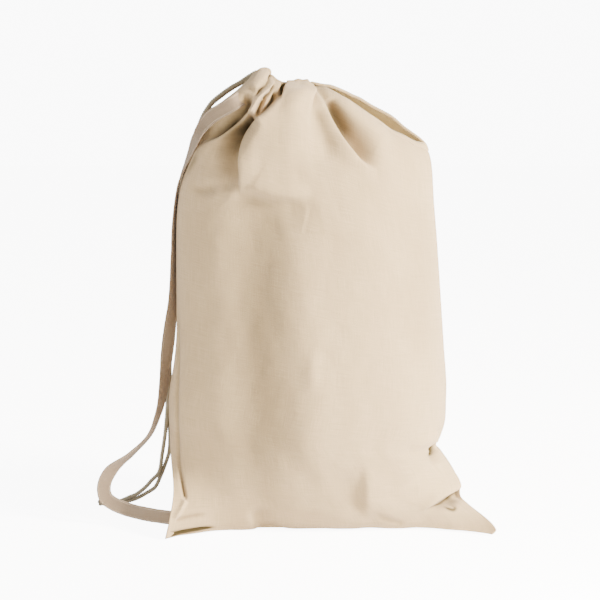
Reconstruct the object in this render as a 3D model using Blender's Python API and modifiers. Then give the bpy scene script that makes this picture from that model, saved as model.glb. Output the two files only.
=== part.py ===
"""Drawstring laundry bag of natural cotton canvas, standing full on its bottom.

Metres, +Z up. The origin is on the floor, in the middle of the base. The front
panel faces -Y, the side with the shoulder strap is at -X. The mouth is hemmed
into a casing that a drawcord gathers; both tails of the cord leave the casing
at the peak of the gather and hang behind the strap side.
"""

import math

import bmesh
import bpy
from mathutils import Matrix, Vector

# ---------------------------------------------------------------- driving sizes
CLOTH = 0.0012  # thickness of the canvas
GAP = 0.0003  # clearance between neighbouring pieces
SEAM_ALLOWANCE = 0.012  # width of the turned edges sewn together at every seam
SEAM_THICKNESS = 0.0024  # two layers of canvas
STRAP_WIDTH = 0.025
STRAP_THICKNESS = 0.0022
STRAP_SPACING = 0.012  # between the strap's cross lines
CORD_RADIUS = 0.0025
CASING_RADIUS = 0.0062  # the hem channel, bunched up round the cord
CASING_WALL = 0.0012
CASING_DROP = 0.0100  # the neck's canvas stops this far below the channel's middle
THREAD_RADIUS = 0.0005
BARTACK = (0.018, 0.006, 0.0014)  # a block of dense stitches: across, along and above the strap
BARTACK_GAP = 0.0006  # stands off a strap that curves a little
BARTACK_INSET = 0.006  # from the strap's end to the middle of the stitches

# The two side seams, from the ear at the floor up to the hem, in the XZ plane.
LEFT_SEAM = (
    (-0.258, 0.000),
    (-0.250, 0.060),
    (-0.250, 0.230),
    (-0.239, 0.360),
    (-0.237, 0.580),
    (-0.220, 0.665),
    (-0.168, 0.757),
    (-0.112, 0.796),
)
RIGHT_SEAM = (
    (0.337, 0.000),
    (0.272, 0.072),
    (0.226, 0.150),
    (0.250, 0.270),
    (0.240, 0.420),
    (0.230, 0.560),
    (0.223, 0.645),
    (0.212, 0.697),
)
# Half of the bag's depth along the seams' length, as (share of the way up, depth).
DEPTH = (
    (0.00, 0.082),
    (0.06, 0.104),
    (0.25, 0.128),
    (0.50, 0.130),
    (0.75, 0.112),
    (1.00, 0.072),
)
# A cross section's depth over its width is (1 - width ** SHARPNESS) ** POWER: pointed ears at
# the floor, a pillow from PILLOW_FROM up. Each is (value at the floor, value of the pillow).
PILLOW_FROM = 0.25
SHARPNESS = (1.7, 2.4)
POWER = (1.25, 0.53)

EARS_FORWARD = 0.100  # the bottom corners lie this far in front of the base's middle
EARS_CURVE = 2.4  # how late along the base the bottom seam turns forwards
EARS_FADE = 0.22  # share of the way up where the side seams are back in the middle plane
COLUMNS = 18  # faces across a panel
ROWS = 18  # faces up a panel's wall
BASE_EDGE_LIFT = 0.007  # the base's outer edge curls up this much off the floor
BASE_ROWS = ((0.0, 0.0), (0.45, 0.0), (0.88, 0.0), (1.0, BASE_EDGE_LIFT))  # share of the depth, lift
BASE_ROW_STEP = 0.0008  # keeps the base's rows apart where they meet in the ears
PANEL_EDGE = CLOTH + 2 * GAP  # a panel's outer side, measured from the middle plane at a seam
SIDE_SEAM_SPAN = (0.15, 0.95)  # the turned edges stop short of the ears and of the mouth
SIDE_SEAM_INSET = 0.006

# The mouth turns about the line through the tops of the two side seams.
MOUTH_LEFT = Vector((LEFT_SEAM[-1][0], 0.0, LEFT_SEAM[-1][1]))
MOUTH_RIGHT = Vector((RIGHT_SEAM[-1][0], 0.0, RIGHT_SEAM[-1][1]))
MOUTH_MARGIN = 0.05  # share of the mouth's length left free at either end
NECK_INSET = 0.0035  # the neck's lower edge tucks in behind the panel's rim
NECK_ROWS = 6
NECK_LEAN = 0.001  # the neck's foot stands at least this far outside the hem
NECK_LEAST = 0.002  # the neck's least height
CASING_SIDES = 10
# Height of the hem above the mouth's line, as (share of its length, height): the
# peak of the gather is near the strap side, and the hem falls to the other corner.
HEM_HEIGHT = (
    (0.00, 0.008),
    (0.12, 0.040),
    (0.30, 0.046),
    (0.42, 0.042),
    (0.65, 0.036),
    (0.85, 0.024),
    (1.00, 0.010),
)
# Half of the open gap between the two hems: bunched on the strap side, gaping beyond.
HEM_GAP = ((0.0, 0.009), (0.35, 0.010), (0.60, 0.024), (0.80, 0.024), (1.0, 0.010))
# Where either end of the cord leaves the hem: beside the seam's top, and the bend before it.
CORD_EXIT = (-0.1165, 0.0035, 0.8085)
CORD_BEND_SHARE = 0.02
CORD_BEND_SHIFT = (-0.002, 0.0, 0.001)

# Centre lines of the strap, with the direction of its width at each point.
STRAP_UPPER = (
    ((-0.120, -0.036, 0.794), (-0.35, -0.45, 0.80)),
    ((-0.147, -0.043, 0.779), (-0.50, -0.40, 0.75)),
    ((-0.182, -0.044, 0.751), (-0.75, -0.40, 0.55)),
    ((-0.214, -0.038, 0.709), (-0.85, -0.45, 0.25)),
    ((-0.2335, -0.024, 0.660), (-0.70, -0.60, 0.10)),
    ((-0.2455, -0.010, 0.620), (-0.45, -0.90, 0.05)),
    ((-0.2480, -0.002, 0.588), (-0.25, -0.97, 0.00)),
)
STRAP_LOOP = (
    ((-0.2480, -0.002, 0.5865), (-0.25, -0.97, 0.00)),
    ((-0.2485, -0.002, 0.520), (-0.45, -0.90, 0.00)),
    ((-0.2540, -0.002, 0.420), (-0.55, -0.83, 0.00)),
    ((-0.2620, -0.004, 0.330), (-0.60, -0.80, 0.00)),
    ((-0.2700, -0.008, 0.260), (-0.70, -0.70, 0.00)),
    ((-0.2850, -0.012, 0.195), (-0.50, -0.85, -0.10)),
    ((-0.3120, -0.018, 0.153), (-0.15, -0.98, -0.05)),
    ((-0.3380, -0.024, 0.125), (-0.60, -0.70, 0.45)),
    ((-0.3620, -0.028, 0.092), (-0.90, -0.20, 0.40)),
    ((-0.3680, -0.030, 0.068), (-0.97, -0.15, 0.10)),
    ((-0.3560, -0.034, 0.044), (-0.70, -0.20, -0.60)),
    ((-0.3280, -0.042, 0.031), (-0.25, -0.15, -0.93)),
    ((-0.2950, -0.055, 0.026), (-0.05, -0.15, -0.97)),
    ((-0.2640, -0.068, 0.024), (0.00, -0.10, -0.98)),
)
STRAP_AXIS_TOP = Vector((-0.2480, -0.002, 0.587))

# Centre lines of tail a of the cord; tail b hangs behind it.
TAIL_SHIFTS = {"a": (0.0, 0.0, 0.0), "b": (0.0012, 0.0064, 0.0)}
TAIL_SHOULDER = (
    (-0.1190, 0.0060, 0.8100),
    (-0.1560, 0.0100, 0.7860),
    (-0.1870, 0.0140, 0.7590),
    (-0.2100, 0.0180, 0.7180),
    (-0.2290, 0.0230, 0.6690),
    (-0.2420, 0.0300, 0.6200),
    (-0.2450, 0.0360, 0.5900),
    (-0.2450, 0.0440, 0.5400),
    (-0.2460, 0.0560, 0.4600),
)
TAIL_HANG = (
    (-0.2460, 0.0570, 0.4550),
    (-0.2480, 0.0700, 0.3600),
    (-0.2530, 0.0840, 0.2600),
    (-0.2600, 0.0980, 0.1750),
    (-0.2660, 0.1060, 0.1250),
)
TAIL_END = (
    (-0.2662, 0.1064, 0.1230),
    (-0.2710, 0.1120, 0.0900),
    (-0.2850, 0.1200, 0.0500),
    (-0.3080, 0.1280, 0.0180),
    (-0.3400, 0.1340, 0.0034),
    (-0.3760, 0.1400, 0.0030),
)
KNOT_CENTRE = (-0.3860, 0.1450, 0.0080)
KNOT_RADIUS = 0.0070
KNOT_STRETCH = (1.3, 0.9, 1.0)
SHOULDER_SPACING = 0.020  # between the points of the cord on the shoulder
HANG_SPACING = 0.030
END_SPACING = 0.012
CORD_SWING_POINT = Vector((-0.2662, 0.1064, 0.1240))

# ---------------------------------------------------------------- colours
CANVAS = (0.78, 0.68, 0.55)
WEBBING = (0.72, 0.66, 0.56)
CORDAGE = (0.66, 0.60, 0.48)
THREAD = (0.80, 0.73, 0.61)


# ---------------------------------------------------------------- helpers
def clear_scene():
    for obj in list(bpy.data.objects):
        bpy.data.objects.remove(obj, do_unlink=True)


def material(name, colour, roughness):
    made = bpy.data.materials.new(name)
    made.use_nodes = True
    shader = made.node_tree.nodes["Principled BSDF"]
    shader.inputs["Base Color"].default_value = (*colour, 1.0)
    shader.inputs["Roughness"].default_value = roughness
    shader.inputs["Metallic"].default_value = 0.0
    return made


def hermite(knots, values, at):
    """A smooth curve through the values: Catmull-Rom slopes on uneven knots."""
    last = len(knots) - 1
    i = max(k for k in range(last) if knots[k] <= at or k == 0)

    def slope(k):
        a, b = max(k - 1, 0), min(k + 1, last)
        return (values[b] - values[a]) / (knots[b] - knots[a])

    span = knots[i + 1] - knots[i]
    f = (at - knots[i]) / span
    return (
        values[i] * (1 + 2 * f) * (1 - f) ** 2
        + slope(i) * span * f * (1 - f) ** 2
        + values[i + 1] * f * f * (3 - 2 * f)
        - slope(i + 1) * span * f * f * (1 - f)
    )


def profile(pairs, at):
    return hermite([p[0] for p in pairs], [p[1] for p in pairs], at)


def smooth_path(points, spacing):
    """The points of a smooth curve through the given ones, about this far apart."""
    points = [Vector(p) for p in points]
    knots = [0.0]
    for a, b in zip(points, points[1:]):
        knots.append(knots[-1] + (b - a).length)
    count = max(2, round(knots[-1] / spacing))
    return [hermite(knots, points, knots[-1] * k / count) for k in range(count + 1)]


def seam_point(seam, share):
    """A point of a side seam, this share of its length up from the floor."""
    points = [Vector((x, 0.0, z)) for x, z in seam]
    knots = [0.0]
    for a, b in zip(points, points[1:]):
        knots.append(knots[-1] + (b - a).length)
    place = hermite(knots, points, knots[-1] * share)
    place.z = max(place.z, 0.0)
    return place


def smoothstep(value):
    value = min(max(value, 0.0), 1.0)
    return value * value * (3 - 2 * value)


def add_object(name, data, look, parent=None):
    obj = bpy.data.objects.new(name, data)
    data.materials.append(look)
    PARTS.objects.link(obj)
    if parent:
        obj.parent = parent
        obj.matrix_parent_inverse = parent.matrix_world.inverted()
    return obj


def joint_empty(name, place):
    empty = bpy.data.objects.new(name, None)
    empty.empty_display_size = 0.03
    PARTS.objects.link(empty)
    empty.matrix_world = Matrix.Translation(place)
    return empty


def sheet(name, rows, thickness, look, parent=None, offset=-1.0):
    """A sheet through a grid of points, made solid. Its outer side is its right-hand side."""
    mesh = bpy.data.meshes.new(name)
    work = bmesh.new()
    grid = [[work.verts.new(p) for p in row] for row in rows]
    for low, high in zip(grid, grid[1:]):
        for a, b, c, d in zip(low, low[1:], high[1:], high):
            work.faces.new((a, b, c, d))
    work.to_mesh(mesh)
    work.free()
    mesh.shade_smooth()
    obj = add_object(name, mesh, look, parent)
    solid = obj.modifiers.new("thickness", "SOLIDIFY")
    solid.thickness = thickness
    solid.offset = offset
    solid.use_even_offset = False
    return obj


def tape(name, path, look, parent=None):
    """The flat strap along a path of (centre, direction of its width) pairs."""
    centres = smooth_path([p[0] for p in path], STRAP_SPACING)
    widths = [Vector(p[1]).normalized() for p in path]
    chord = [0.0]
    for a, b in zip(path, path[1:]):
        chord.append(chord[-1] + (Vector(b[0]) - Vector(a[0])).length)
    knots = [c / chord[-1] for c in chord]
    rows = []
    for k, centre in enumerate(centres):
        across = hermite(knots, widths, k / (len(centres) - 1)).normalized()
        half = across * STRAP_WIDTH / 2
        rows.append([centre - half, centre, centre + half])
    return sheet(name, rows, STRAP_THICKNESS, look, parent, offset=0.0)


def cord(name, points, radius, look, parent=None):
    """A round cord through the points, as a bevelled poly line with closed ends."""
    curve = bpy.data.curves.new(name, "CURVE")
    curve.dimensions = "3D"
    curve.bevel_depth = radius
    curve.bevel_resolution = 2
    curve.use_fill_caps = True
    line = curve.splines.new("POLY")
    line.points.add(len(points) - 1)
    for point, place in zip(line.points, points):
        point.co = (*place, 1.0)
    return add_object(name, curve, look, parent)


def bartack(name, path, place, look, parent=None):
    """A block of stitches on the front of a strap, this far along its first stretch."""
    start, after = Vector(path[0][0]), Vector(path[1][0])
    along = (after - start).normalized()
    across = Vector(path[0][1])
    across = (across - along * along.dot(across)).normalized()
    above = along.cross(across)
    if above.y > 0:
        across, above = -across, -above
    lift = STRAP_THICKNESS / 2 + BARTACK[2] / 2 + BARTACK_GAP
    centre = start + along * place + above * lift
    mesh = bpy.data.meshes.new(name)
    work = bmesh.new()
    bmesh.ops.create_cube(work, size=1.0)
    bmesh.ops.scale(work, vec=BARTACK, verts=work.verts)
    work.to_mesh(mesh)
    work.free()
    obj = add_object(name, mesh, look, parent)
    turn = Matrix((across, along, above)).transposed()
    obj.matrix_world = Matrix.Translation(centre) @ turn.to_4x4()
    return obj


# ---------------------------------------------------------------- body of the bag
def section(across, up):
    """How full the bag is at this share of its width: thin ears low down, a pillow higher up."""
    full = smoothstep(up / PILLOW_FROM)
    sharp = SHARPNESS[0] + (SHARPNESS[1] - SHARPNESS[0]) * full
    power = POWER[0] + (POWER[1] - POWER[0]) * full
    return max(1 - abs(across) ** sharp, 0.0) ** power


def ears_offset(across, up):
    return -EARS_FORWARD * abs(across) ** EARS_CURVE * (1 - smoothstep(up / EARS_FADE))


def seam_line(across, up):
    """The middle surface between the two panels."""
    left, right = seam_point(LEFT_SEAM, up), seam_point(RIGHT_SEAM, up)
    place = left.lerp(right, (across + 1) / 2)
    place.y = ears_offset(across, up)
    return place


def columns():
    """Places across a panel, closer together towards the side seams."""
    return [-math.cos(math.pi * k / COLUMNS) for k in range(COLUMNS + 1)]


def base_row(side, number):
    """One row of a panel's half of the base, counted outwards from the bottom seam."""
    share, lift = BASE_ROWS[number]
    row = []
    for across in columns():
        fullness = section(across, 0.0)
        place = seam_line(across, 0.0)
        edge = SEAM_ALLOWANCE / 2 + GAP + number * BASE_ROW_STEP
        place.y += side * (edge + share * profile(DEPTH, 0.0) * fullness)
        place.z += lift * fullness**0.5
        row.append(place)
    return row


def wall_row(side, up):
    row = []
    for across in columns():
        place = seam_line(across, up)
        place.y += side * (PANEL_EDGE + profile(DEPTH, up) * section(across, up))
        row.append(place)
    return row


def panel_rows(side):
    rows = [base_row(side, number) for number in range(len(BASE_ROWS))]
    rows += [wall_row(side, k / ROWS) for k in range(1, ROWS + 1)]
    return rows if side < 0 else [row[::-1] for row in rows]


def side_seam_rows(seam, inward):
    """The turned edges of the panels, standing into the bag along a side seam."""
    start, stop = SIDE_SEAM_SPAN
    rows = []
    for k in range(2 * ROWS + 1):
        up = start + (stop - start) * k / (2 * ROWS)
        foot = seam_point(seam, up)
        foot.y = ears_offset(1.0, up)
        near = foot + Vector((inward * SIDE_SEAM_INSET, 0, 0))
        far = near + Vector((inward * SEAM_ALLOWANCE, 0, 0))
        rows.append([near, far])
    return rows


def bottom_seam_rows():
    """The turned edges along the floor, between the two halves of the base."""
    rows = []
    for across in columns()[1:-1]:
        middle = seam_line(across, 0.0)
        middle.z = SEAM_THICKNESS / 2
        half = Vector((0, SEAM_ALLOWANCE / 2, 0))
        rows.append([middle - half, middle, middle + half])
    return rows


# ---------------------------------------------------------------- gathered mouth
def mouth_line(share):
    return MOUTH_LEFT.lerp(MOUTH_RIGHT, share)


def mouth_up():
    """At right angles to the mouth's line, upwards."""
    along = (MOUTH_RIGHT - MOUTH_LEFT).normalized()
    return Vector((-along.z, 0.0, along.x))


def hem_point(side, share):
    """A point of the hem: side is -1 at the front and +1 at the back."""
    place = mouth_line(share) + mouth_up() * profile(HEM_HEIGHT, share)
    place.y = side * profile(HEM_GAP, share)
    return place


def shares(count):
    for k in range(count + 1):
        yield MOUTH_MARGIN + (1 - 2 * MOUTH_MARGIN) * (1 - math.cos(math.pi * k / count)) / 2


def neck_rows(side):
    """The canvas above the seams' tops, from behind the panel's rim in to the casing."""
    rows = []
    for r in range(NECK_ROWS + 1):
        rise = r / NECK_ROWS
        row = []
        for share in shares(COLUMNS):
            foot_depth = profile(DEPTH, 1.0) * section(2 * share - 1, 1.0) - NECK_INSET
            hem_depth = profile(HEM_GAP, share)
            foot_depth = max(foot_depth, hem_depth + NECK_LEAN)
            top = max(profile(HEM_HEIGHT, share) - CASING_DROP, NECK_LEAST)
            height = top * math.sin(rise * math.pi / 2)
            depth = hem_depth + (foot_depth - hem_depth) * math.cos(rise * math.pi / 2)
            place = mouth_line(share) + mouth_up() * height
            place.y = side * depth
            row.append(place)
        rows.append(row if side < 0 else row[::-1])
    return rows


def casing_rows(side):
    """The hem's channel as an open-ended tube round the cord."""
    path = [hem_point(side, share) for share in shares(COLUMNS)]
    rows = []
    for k, centre in enumerate(path):
        ahead = path[min(k + 1, len(path) - 1)] - path[max(k - 1, 0)]
        ahead.normalize()
        up = (mouth_up() - ahead * ahead.dot(mouth_up())).normalized()
        out = ahead.cross(up)
        ring = []
        for s in range(CASING_SIDES):
            angle = 2 * math.pi * s / CASING_SIDES
            ring.append(centre + CASING_RADIUS * (up * math.cos(angle) + out * math.sin(angle)))
        rows.append(ring)
    return rows


def closed_tube(name, rings, wall, look, parent):
    """A tube through closed rings of points, open at both ends, with a wall."""
    mesh = bpy.data.meshes.new(name)
    work = bmesh.new()
    grid = [[work.verts.new(p) for p in ring] for ring in rings]
    for low, high in zip(grid, grid[1:]):
        for s in range(len(low)):
            n = (s + 1) % len(low)
            work.faces.new((low[s], low[n], high[n], high[s]))
    bmesh.ops.recalc_face_normals(work, faces=work.faces)
    work.to_mesh(mesh)
    work.free()
    mesh.shade_smooth()
    obj = add_object(name, mesh, look, parent)
    solid = obj.modifiers.new("wall", "SOLIDIFY")
    solid.thickness = wall
    solid.offset = -1.0
    return obj


def casing_stitch_points(side):
    """The line of stitches that closes the casing, on the outside of the neck."""
    out = CLOTH / 2 + THREAD_RADIUS + GAP
    rows = neck_rows(side)
    upper, lower = rows[-2], rows[-3]
    points = []
    for k in range(1, len(upper) - 1):
        along = upper[k + 1] - upper[k - 1]
        normal = along.cross(upper[k] - lower[k]).normalized()
        points.append(upper[k].lerp(lower[k], 0.5) + normal * out)
    return points


def cord_run_points(side):
    """The cord inside its half of the casing, and out at the left end to the seam's top."""
    run = [hem_point(side, share) for share in shares(COLUMNS)]
    bend = hem_point(side, CORD_BEND_SHARE) + Vector(CORD_BEND_SHIFT)
    exit_point = Vector((CORD_EXIT[0], side * CORD_EXIT[1], CORD_EXIT[2]))
    return [exit_point, bend, *run[:-1]]


# ---------------------------------------------------------------- assembly
def build_bag(canvas):
    sheet("front_panel", panel_rows(-1), CLOTH, canvas)
    sheet("back_panel", panel_rows(1), CLOTH, canvas)
    sheet("left_side_seam", side_seam_rows(LEFT_SEAM, 1), SEAM_THICKNESS, canvas, offset=0.0)
    sheet("right_side_seam", side_seam_rows(RIGHT_SEAM, -1), SEAM_THICKNESS, canvas, offset=0.0)
    sheet("bottom_seam", bottom_seam_rows(), SEAM_THICKNESS, canvas, offset=0.0)


def build_mouth(side, word, canvas, thread, cordage, empty):
    sheet(word + "_neck", neck_rows(side), CLOTH, canvas, empty)
    closed_tube(word + "_casing", casing_rows(side), CASING_WALL, canvas, empty)
    cord(word + "_casing_stitches", casing_stitch_points(side), THREAD_RADIUS, thread, empty)
    cord("drawcord_" + word + "_run", cord_run_points(side), CORD_RADIUS, cordage, empty)


def build_strap(webbing, thread, empty):
    tape("strap_upper", STRAP_UPPER, webbing)
    tape("strap_loop", STRAP_LOOP, webbing, empty)
    bartack("strap_top_stitches", STRAP_UPPER, BARTACK_INSET, thread)
    bartack("strap_bottom_stitches", STRAP_LOOP[::-1], BARTACK_INSET, thread, empty)


def shifted(points, shift):
    return [Vector(p) + Vector(shift) for p in points]


def build_tails(cordage, hang, swing):
    for letter, shift in TAIL_SHIFTS.items():
        shoulder = smooth_path(shifted(TAIL_SHOULDER, shift), SHOULDER_SPACING)
        cord(f"cord_tail_{letter}_shoulder", shoulder, CORD_RADIUS, cordage)
        middle = smooth_path(shifted(TAIL_HANG, shift), HANG_SPACING)
        cord(f"cord_tail_{letter}_middle", middle, CORD_RADIUS, cordage, hang)
        end = smooth_path(shifted(TAIL_END, shift), END_SPACING)
        cord(f"cord_tail_{letter}_end", end, CORD_RADIUS, cordage, swing)


def build_knot(cordage, swing):
    mesh = bpy.data.meshes.new("cord_knot")
    work = bmesh.new()
    bmesh.ops.create_uvsphere(work, u_segments=16, v_segments=10, radius=KNOT_RADIUS)
    work.to_mesh(mesh)
    work.free()
    mesh.shade_smooth()
    knot = add_object("cord_knot", mesh, cordage, swing)
    knot.matrix_world = Matrix.Translation(KNOT_CENTRE) @ Matrix.Diagonal((*KNOT_STRETCH, 1.0))


def build():
    canvas = material("natural_canvas", CANVAS, 0.9)
    web = material("cotton_web", WEBBING, 0.9)
    cordage = material("cotton_cord", CORDAGE, 0.85)
    thread = material("sewing_thread", THREAD, 0.8)
    front_hinge = joint_empty("mouth_front_hinge", MOUTH_LEFT)
    back_hinge = joint_empty("mouth_back_hinge", MOUTH_LEFT)
    strap_hinge = joint_empty("strap_swing_axis", STRAP_AXIS_TOP)
    cord_slide = joint_empty("drawcord_slide", Vector(TAIL_HANG[0]))
    cord_swing = joint_empty("cord_end_swing_axis", CORD_SWING_POINT)
    bpy.context.view_layer.update()
    build_bag(canvas)
    build_mouth(-1, "front", canvas, thread, cordage, front_hinge)
    build_mouth(1, "back", canvas, thread, cordage, back_hinge)
    build_strap(web, thread, strap_hinge)
    build_tails(cordage, cord_slide, cord_swing)
    build_knot(cordage, cord_swing)


clear_scene()
PARTS = bpy.data.collections.new("laundry_bag")
bpy.context.scene.collection.children.link(PARTS)
build()
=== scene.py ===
"""Looks of the drawstring laundry bag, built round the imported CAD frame.

Metres, +Z up, the front panel towards -Y, the shoulder strap on the -X side.
"""

import math

import bmesh
import bpy
import numpy as np
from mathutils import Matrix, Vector


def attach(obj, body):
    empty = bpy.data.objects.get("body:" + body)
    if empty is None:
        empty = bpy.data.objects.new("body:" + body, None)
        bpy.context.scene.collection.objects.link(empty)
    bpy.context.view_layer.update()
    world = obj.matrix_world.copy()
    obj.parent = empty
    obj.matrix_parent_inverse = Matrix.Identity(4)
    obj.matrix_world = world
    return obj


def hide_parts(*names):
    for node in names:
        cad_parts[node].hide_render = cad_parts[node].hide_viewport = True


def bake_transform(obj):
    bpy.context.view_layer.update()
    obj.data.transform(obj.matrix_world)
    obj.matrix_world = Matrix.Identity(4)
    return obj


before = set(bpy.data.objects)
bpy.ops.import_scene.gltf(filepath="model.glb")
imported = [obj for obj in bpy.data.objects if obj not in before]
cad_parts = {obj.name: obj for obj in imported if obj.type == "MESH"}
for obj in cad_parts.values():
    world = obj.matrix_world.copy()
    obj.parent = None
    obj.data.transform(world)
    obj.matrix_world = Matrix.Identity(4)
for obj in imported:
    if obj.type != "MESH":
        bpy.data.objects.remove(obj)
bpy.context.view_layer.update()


# ---- tables written in millimetres
def metres(*points):
    return np.array(points, float) / 1000


def strap_path(*rows):
    """Centre points and width directions down the strap, from rows that hold both."""
    rows = np.array(rows, float)
    return rows[:, :3] / 1000, rows[:, 3:]


# ---- sizes
CANVAS_THICKNESS = 0.0011
PANEL_WIDTH = 0.610  # flat width of a panel, for the weave
PANEL_HEIGHT = 0.914
COLUMNS = 320
BASE_ROWS = 14
WALL_ROWS = 340
ROWS_TO_ENDS = 0.45  # how much closer than even the rows are at the hem and at the floor
CASING_BAND = 0.017  # height of the stitched hem channel
CASING_PUFF = 0.0018  # how far the cord inside rounds the channel
CASING_GROOVE = (0.0011, 0.0013)  # depth and width of the groove under its stitches
CASING_STITCH = 0.0036  # from one stitch to the next
CASING_STITCH_LENGTH = 0.0027
CASING_THREAD = 0.00045
# (distance under the hem, distance into the bag) of the hem's inner layer
CHANNEL = metres(
    (0, 1.6), (0.6, 3.6), (2, 5.2), (4.5, 6.2), (7, 6.4), (9.5, 6), (12, 4.8), (14.5, 3.2),
    (17, 1.8), (19.5, 1.5),
)
SQUEEZED_CHANNEL = 0.25  # share of the channel's depth where the cloth is bunched
CHANNEL_OPENS = (0.16, 0.12)  # place across where it starts to open, and over how much
RUN_BELOW_HEM = 0.0075  # place of the drawcord in the channel
RUN_DEPTH = 0.0028
RUN_SPAN = (-0.52, 0.985)
RUN_BUNCHED = (0.10, 0.16)  # place across up to which it lies off centre, and the ease after it
RUN_SHIFT = 0.004
RUN_EVERY = 6  # columns between the points of its path
HEM_ROWS = slice(-12, -2)  # rows near the hem whose normals point out of the bag
HEM_EVEN = 8  # columns on each side over which that direction is evened out
FLAT_HEIGHT = PANEL_HEIGHT * 0.93  # length of flat cloth from the floor to the hem
BASE_REACH = 0.07  # length of flat cloth under the bag
# folds of the back: their number, depth and spread across, and the seed of their differences
BACK_FOLDS = 12
BACK_FOLD_DEPTH = 0.016
BACK_SPREAD = (-0.90, 0.85)
BACK_SEED = 5
# (height, squeeze across, size) of the waviness of handled canvas
UNEVENNESS = ((0.0018, 2.0, 0.26), (0.0004, 1.5, 0.10), (0.00010, 1.0, 0.035))
FRONT_WAVES_SEED = 11
BACK_WAVES_SEED = 31
UNEVEN_FADE = 0.125  # share of a half panel over which it fades towards the seams

# ---- the bag's outline
# (x, z) of the side seams, from the floor to the hem
LEFT_SEAM = metres(
    (-252, 0), (-245.5, 30), (-240.5, 72), (-249, 132), (-253, 200), (-251.5, 240), (-242.5, 295),
    (-237.5, 350), (-236.5, 430), (-235, 550), (-229, 605), (-216, 655), (-197, 705), (-174, 742),
    (-148, 766), (-112, 788),
)
RIGHT_SEAM = metres(
    (327, 1.5), (334, 10), (319, 27), (288, 46.5), (275.5, 57), (275.5, 74), (266, 96),
    (242.5, 130), (234, 139.5), (241.5, 158), (249.5, 186), (251, 225), (251, 260), (246, 320),
    (240, 400), (231, 516), (224.5, 588), (221, 640), (217, 665), (208, 690),
)
# (place across the panel, x, z) of the hem; most of the cloth is bunched on the strap side
FRONT_HEM = (
    (-1.0, -0.112, 0.788), (-0.7, -0.098, 0.808), (-0.5, -0.082, 0.821), (-0.38, -0.07, 0.8215),
    (-0.28, -0.059, 0.811), (-0.18, -0.048, 0.8025), (-0.1, -0.037, 0.797), (-0.04, -0.029, 0.7985),
    (0.04, -0.017, 0.803), (0.14, -0.003, 0.7975), (0.22, 0.006, 0.789), (0.28, 0.018, 0.7885),
    (0.34, 0.033, 0.788), (0.4, 0.0467, 0.782), (0.5, 0.069, 0.768), (0.6, 0.0935, 0.7495),
    (0.7, 0.1185, 0.732), (0.8, 0.143, 0.715), (0.88, 0.168, 0.704), (0.94, 0.188, 0.694),
    (1.0, 0.208, 0.69),
)
BACK_HEM = (
    (-1.0, -0.112, 0.788), (-0.7, -0.098, 0.807), (-0.5, -0.082, 0.819), (-0.38, -0.07, 0.818),
    (-0.28, -0.059, 0.805), (-0.18, -0.048, 0.795), (-0.08, -0.034, 0.789), (0.04, -0.017, 0.792),
    (0.14, -0.003, 0.793), (0.2, 0.006, 0.7965), (0.3, 0.025, 0.7925), (0.38, 0.044, 0.79),
    (0.48, 0.0694, 0.779), (0.58, 0.0931, 0.7685), (0.68, 0.1222, 0.7523), (0.78, 0.1496, 0.736),
    (0.86, 0.1716, 0.72), (0.93, 0.1899, 0.707), (1.0, 0.208, 0.69),
)
# (share of the way up, half the bag's depth)
DEPTH = (
    (0.0, 0.066), (0.025, 0.086), (0.07, 0.104), (0.25, 0.126), (0.5, 0.128), (0.72, 0.112),
)
NECK_START = 0.72  # share of the way up where the bag starts to close
NECK_ROUNDNESS = 2.1  # power of the curve by which it closes
GATHER_START = 0.60  # share of the way up where the cloth starts to lean to the gather
GATHER_EASE = 1.25
HEM_OUT_START = 0.80  # share of the way up where the cloth starts to lean to the hem's distance
FULL_FROM = 0.25  # share of the way up above which the bag has its full section
# (squareness, thinness towards the seams) of the section
SECTION_AT_FLOOR = (1.7, 1.25)
SECTION_FULL = (2.4, 0.53)
# (place across, distance from the middle plane) of the hem
FRONT_HEM_OUT = (
    (-1.0, 0.0), (-0.8, 0.01), (-0.2, 0.013), (0.3, 0.012), (0.5, 0.02), (0.7, 0.024), (0.9, 0.012),
    (1.0, 0.0),
)
BACK_HEM_OUT = (
    (-1.0, 0.0), (-0.8, 0.01), (-0.2, 0.012), (0.3, 0.014), (0.5, 0.026), (0.7, 0.03), (0.9, 0.014),
    (1.0, 0.0),
)
# The bottom corners lie in front of the base's middle: how far, and how late along the base the
# bottom edge turns forwards.
EARS_FORWARD = {"left": 0.126, "right": 0.105}
EARS_CURVE = {"left": 2.6, "right": 2.4}
EARS_FADE = 0.22  # share of the way up where the side seams are back in the middle plane
FOLDS_FADE = 1 / 14  # share of a half panel over which folds fade out towards the seams
CORNER_FOLDS_FADE = 1 / 60
HEM_LEVEL = (0.90, 0.06)  # height and ease above which folds leave the hem's own height alone

# ---- folds of the front
# Lengths in this part are millimetres. Paths are lines in the XZ plane. The fold that swells out
# beside the gathered peak is the dome.
PATH_POINTS = 40  # of a stroke's path once it is smooth
LIP_REACH = 8  # how far back from its edge an overhanging fold leans over
DOME_LEFT = (
    (-118, 600), (-119, 648), (-117.4, 688.4), (-113, 704.3), (-107.7, 715.9), (-98, 727.6),
    (-85.3, 738.2), (-69.3, 752.9), (-56.6, 764.5), (-42.8, 777.2), (-36.4, 789.8), (-30.1, 803),
)
DOME_RIGHT = (
    (-8, 803), (9.7, 784.6), (27.6, 759.9), (38, 740), (48.4, 721.5), (60, 703), (70.6, 688.4),
    (86, 670), (101.2, 658), (123.4, 649.7),
)
DOME_FOOT = (
    (14, 609), (-15, 601), (-45, 600), (-75, 604), (-100, 612), (-117, 626),
)
THIN_RIDGE = (
    (-60.7, 804.5), (-74.5, 785.6), (-85.1, 773), (-92.6, 762.4), (-97.4, 752.9), (-106.4, 747.1),
    (-129.9, 729.7), (-159.8, 705.3), (-181.2, 688.4), (-200, 655),
)
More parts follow.
